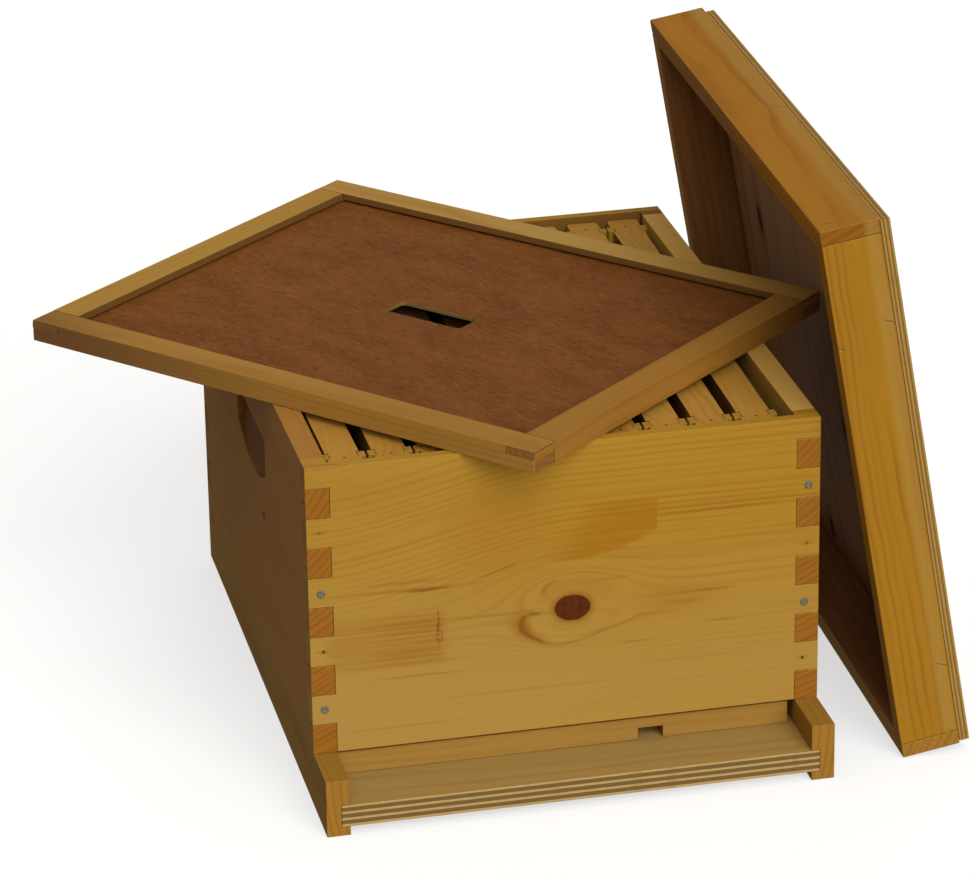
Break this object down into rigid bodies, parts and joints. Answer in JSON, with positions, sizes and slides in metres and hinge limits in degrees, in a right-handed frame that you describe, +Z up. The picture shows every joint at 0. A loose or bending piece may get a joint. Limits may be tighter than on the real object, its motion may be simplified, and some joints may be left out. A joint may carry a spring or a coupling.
{
  "type": "beehive",
  "caption": "Opened wooden beehive: box-jointed body of hanging frames on a bottom board, framed inner cover turned across the top, deep-rimmed outer cover leaning at the side.",
  "frame": {"origin": "middle of the whole object's box, on the surface that it stands on", "axes": "+X from the hive's left side to its right, -Y out of its entrance front, +Z up"},
  "size_m": [0.7104, 0.6518, 0.4656],
  "materials": {
    "pine": "planed, unpainted",
    "hardboard": "smooth, unpainted",
    "plywood": "sanded, unpainted"
  },
  "bodies": {
    "bottom_board": {"bottom_rail_left": "pine", "bottom_rail_right": "pine", "bottom_floor": "plywood", "bottom_rear_cleat": "pine"},
    "entrance_reducer": {"entrance_reducer": "pine"},
    "hive_body": {"body_front": "pine", "body_rear": "pine", "body_left": "pine", "body_right": "pine", "frame_01_top_bar": "pine", "frame_01_front_end_bar": "pine", "frame_01_rear_end_bar": "pine", "frame_01_bottom_bar": "pine", "frame_02_top_bar": "pine", "frame_02_front_end_bar": "pine", "frame_02_rear_end_bar": "pine", "frame_02_bottom_bar": "pine", "frame_03_top_bar": "pine", "frame_03_front_end_bar": "pine", "frame_03_rear_end_bar": "pine", "frame_03_bottom_bar": "pine", "frame_04_top_bar": "pine", "frame_04_front_end_bar": "pine", "frame_04_rear_end_bar": "pine", "frame_04_bottom_bar": "pine", "frame_05_top_bar": "pine", "frame_05_front_end_bar": "pine", "frame_05_rear_end_bar": "pine", "frame_05_bottom_bar": "pine", "frame_06_top_bar": "pine", "frame_06_front_end_bar": "pine", "frame_06_rear_end_bar": "pine", "frame_06_bottom_bar": "pine", "frame_07_top_bar": "pine", "frame_07_front_end_bar": "pine", "frame_07_rear_end_bar": "pine", "frame_07_bottom_bar": "pine", "frame_08_top_bar": "pine", "frame_08_front_end_bar": "pine", "frame_08_rear_end_bar": "pine", "frame_08_bottom_bar": "pine", "frame_09_top_bar": "pine", "frame_09_front_end_bar": "pine", "frame_09_rear_end_bar": "pine", "frame_09_bottom_bar": "pine"},
    "last_frame": {"frame_10_top_bar": "pine", "frame_10_front_end_bar": "pine", "frame_10_rear_end_bar": "pine", "frame_10_bottom_bar": "pine"},
    "inner_cover": {"inner_cover_left_rail": "pine", "inner_cover_right_rail": "pine", "inner_cover_front_rail": "pine", "inner_cover_rear_rail": "pine", "inner_cover_panel": "hardboard"},
    "outer_cover": {"outer_cover_right_rim": "pine", "outer_cover_left_rim": "pine", "outer_cover_front_rim": "pine", "outer_cover_rear_rim": "pine", "outer_cover_panel": "plywood"}
  },
  "joints": [
    {"name": "reducer_slide", "type": "slide", "parent": "bottom_board", "child": "entrance_reducer", "axis": [0, -1, 0], "range_m": [0, 0.05]},
    {"name": "body_tilt", "type": "hinge", "parent": "bottom_board", "child": "hive_body", "pos_m": [-0.18854, -0.0212, 0.0483], "axis": [0, -1, 0], "range_deg": [0, 15]},
    {"name": "last_frame_turn", "type": "hinge", "parent": "hive_body", "child": "last_frame", "pos_m": [0.20516, 0.19805, 0.2871], "axis": [0, 0, 1], "range_deg": [0, 1.05]},
    {"name": "inner_cover_turn", "type": "hinge", "parent": "hive_body", "child": "inner_cover", "pos_m": [-0.03257, -0.07888, 0.2931], "axis": [0, 0, 1], "range_deg": [-41.65, 0]},
    {"name": "outer_cover_swing", "type": "hinge", "parent": "bottom_board", "child": "outer_cover", "pos_m": [-0.05836, -0.01752, 0.2538], "axis": [-0.0211, -0.9998, 0], "range_deg": [0, 80.53]}
  ]
}
